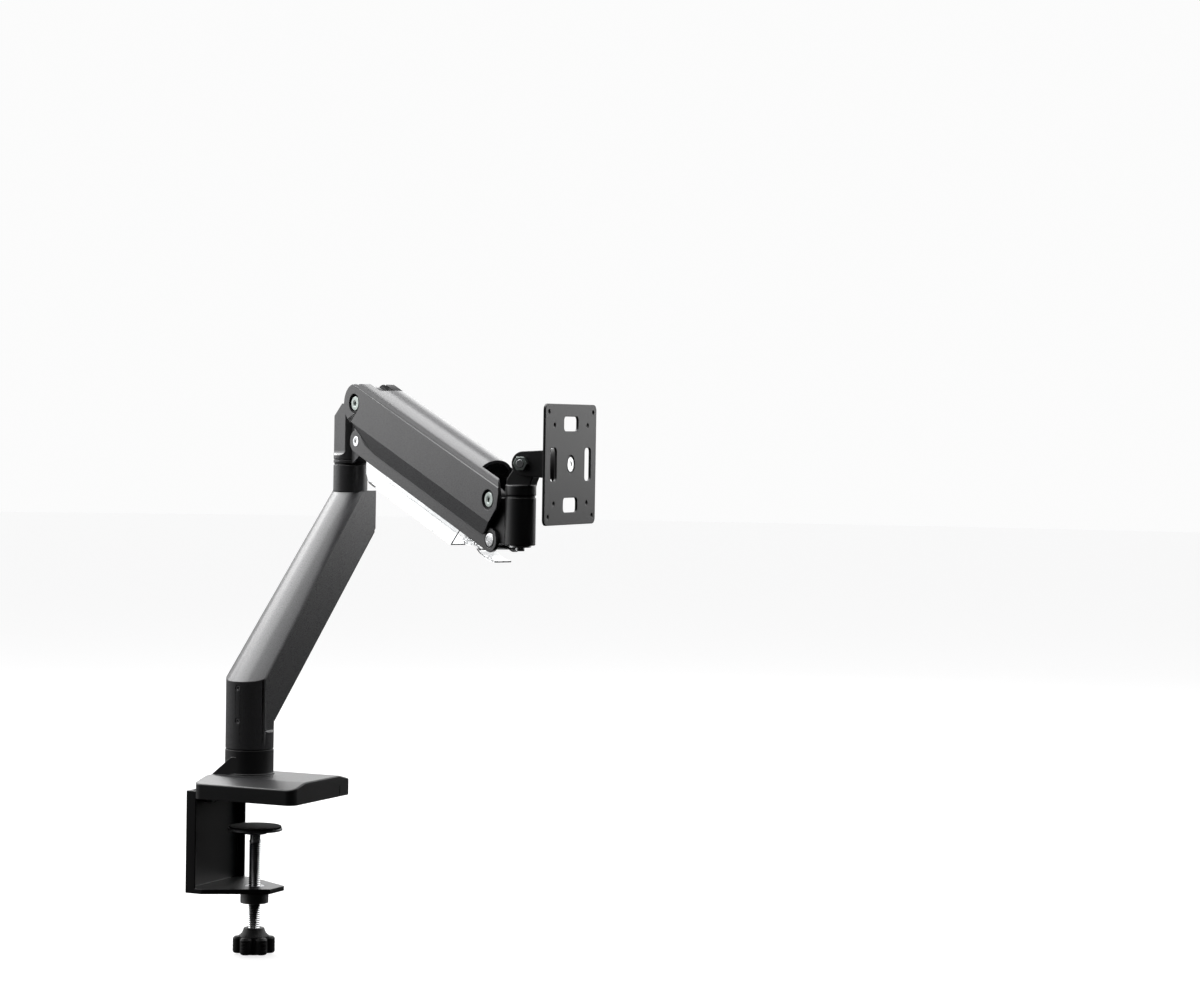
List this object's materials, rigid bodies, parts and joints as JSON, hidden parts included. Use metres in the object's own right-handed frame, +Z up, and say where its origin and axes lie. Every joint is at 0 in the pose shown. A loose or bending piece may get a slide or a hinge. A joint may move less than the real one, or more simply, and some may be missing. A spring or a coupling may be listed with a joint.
{
  "type": "monitor arm",
  "caption": "Desk clamp monitor arm with a slanted lower arm, gas spring parallelogram upper arm, clear cable tray and a tilting, turning screen plate.",
  "frame": {"origin": "centre line of the upright post, on the underside of the base where it rests on the desk top", "axes": "+Z up, +X along the desk edge to the user's right, -Y towards the user, which is the way the screen plate faces"},
  "size_m": [0.283, 0.374, 0.5722],
  "materials": {
    "satin_grey": "cast aluminium under a fine satin dark grey powder coat",
    "cast_black": "cast aluminium under a satin black powder coat",
    "satin_black": "steel under a satin black powder coat",
    "black_plastic": "fine grained moulded plastic",
    "rubber": "matte",
    "plain_steel": "dull zinc plated",
    "bright_steel": "bright",
    "zinc_screws": "zinc plated",
    "bearing_plastic": "natural bearing plastic",
    "clear_plastic": "clear, polished"
  },
  "bodies": {
    "base": {"base_casting": "cast_black", "base_plate": "plain_steel", "base_screws": "zinc_screws", "base_pad": "rubber", "post_spindle": "bright_steel", "clamp_bracket": "satin_black", "clamp_bolts": "zinc_screws", "jaw_nut": "plain_steel"},
    "clamp_pad": {"pressure_pad": "plain_steel", "pad_rubber": "rubber"},
    "clamp_screw": {"clamp_screw": "bright_steel", "clamp_knob": "black_plastic"},
    "lower_arm": {"lower_arm": "satin_grey", "lower_bush": "bearing_plastic", "swivel_washer": "black_plastic", "grub_screws": "plain_steel", "lower_cable_cover": "black_plastic", "elbow_bush": "bearing_plastic"},
    "elbow": {"elbow": "satin_grey", "elbow_spindle": "bright_steel", "elbow_washer": "black_plastic", "elbow_retainer": "bright_steel", "rear_pivot_bushes": "bearing_plastic", "rear_link_bushes": "bearing_plastic", "spring_carriage": "plain_steel", "anchor_pin": "bright_steel"},
    "tension_screw": {"tension_screw": "bright_steel"},
    "upper_arm": {"spring_housing": "satin_grey", "rear_pivot_shaft": "bright_steel", "rear_pivot_screws": "zinc_screws", "front_pivot_shaft": "bright_steel", "front_pivot_screws": "zinc_screws", "gas_cylinder": "satin_black", "rod_gland": "plain_steel"},
    "gas_rod": {"gas_rod": "bright_steel", "rod_yoke": "plain_steel"},
    "link": {"lower_link": "satin_grey", "rear_link_screws": "bright_steel", "front_link_pin": "bright_steel", "cable_tray": "clear_plastic", "cable_clip": "clear_plastic"},
    "head": {"head_bracket": "cast_black", "front_pivot_bushes": "bearing_plastic", "pan_bush": "bearing_plastic", "pan_washer": "black_plastic"},
    "pan": {"pan_post": "cast_black", "pan_retainer": "bright_steel"},
    "tilt": {"tilt_yoke": "cast_black", "tilt_bolt": "bright_steel", "tilt_nut": "zinc_screws", "tilt_washers": "zinc_screws"},
    "screen_plate": {"vesa_plate": "satin_black", "hub_ring": "black_plastic", "hub_screw": "bright_steel"}
  },
  "joints": [
    {"name": "base_swivel", "type": "hinge", "parent": "base", "child": "lower_arm", "pos_m": [0, 0, 0.0466], "axis": [0, 0, 1], "range_deg": [-180, 180]},
    {"name": "elbow_swivel", "type": "hinge", "parent": "lower_arm", "child": "elbow", "pos_m": [0.1985, 0, 0.33], "axis": [0, 0, 1], "range_deg": [-15, 255]},
    {"name": "arm_lift", "type": "hinge", "parent": "elbow", "child": "upper_arm", "pos_m": [0.1793, -0.03325, 0.3935], "axis": [-0.866, 0.5, 0], "range_deg": [-20, 60]},
    {"name": "link_swing", "type": "hinge", "parent": "elbow", "child": "link", "pos_m": [0.1803, -0.03152, 0.354], "axis": [-0.866, 0.5, 0], "range_deg": [-20, 60]},
    {"name": "head_level", "type": "hinge", "parent": "upper_arm", "child": "head", "pos_m": [0.05197, -0.25379, 0.30081], "axis": [-0.866, 0.5, 0], "range_deg": [-60, 20]},
    {"name": "spring_stroke", "type": "slide", "parent": "upper_arm", "child": "gas_rod", "axis": [0.4804, 0.832, 0.2776], "range_m": [-0.0078, 0.0224]},
    {"name": "head_pan", "type": "hinge", "parent": "head", "child": "pan", "pos_m": [0.03797, -0.27804, 0.30081], "axis": [0, 0, 1], "range_deg": [-120, 60]},
    {"name": "head_tilt", "type": "hinge", "parent": "pan", "child": "tilt", "pos_m": [0.03797, -0.28604, 0.33681], "axis": [1, 0, 0], "range_deg": [-60, 20]},
    {"name": "plate_turn", "type": "hinge", "parent": "tilt", "child": "screen_plate", "pos_m": [0.03797, -0.33104, 0.33681], "axis": [0, 1, 0], "range_deg": [-90, 90]},
    {"name": "clamp_travel", "type": "slide", "parent": "base", "child": "clamp_pad", "axis": [0, 0, 1], "range_m": [-0.05, 0.02]},
    {"name": "clamp_spin", "type": "hinge", "parent": "clamp_pad", "child": "clamp_screw", "pos_m": [0, -0.008, -0.03], "axis": [0, 0, 1], "range_deg": [-9002, 3602]},
    {"name": "tension_turn", "type": "hinge", "parent": "elbow", "child": "tension_screw", "pos_m": [0.186, -0.02165, 0.4045], "axis": [0, 0, 1], "range_deg": [-1800, 1800]}
  ],
  "couplings": [
    {"joint": "link_swing", "follows": "arm_lift", "ratio": 1},
    {"joint": "head_level", "follows": "arm_lift", "ratio": -1},
    {"joint": "spring_stroke", "follows": "arm_lift", "m_per_rad": 0.0209},
    {"joint": "clamp_spin", "follows": "clamp_travel", "rad_per_m": 3141.6}
  ]
}
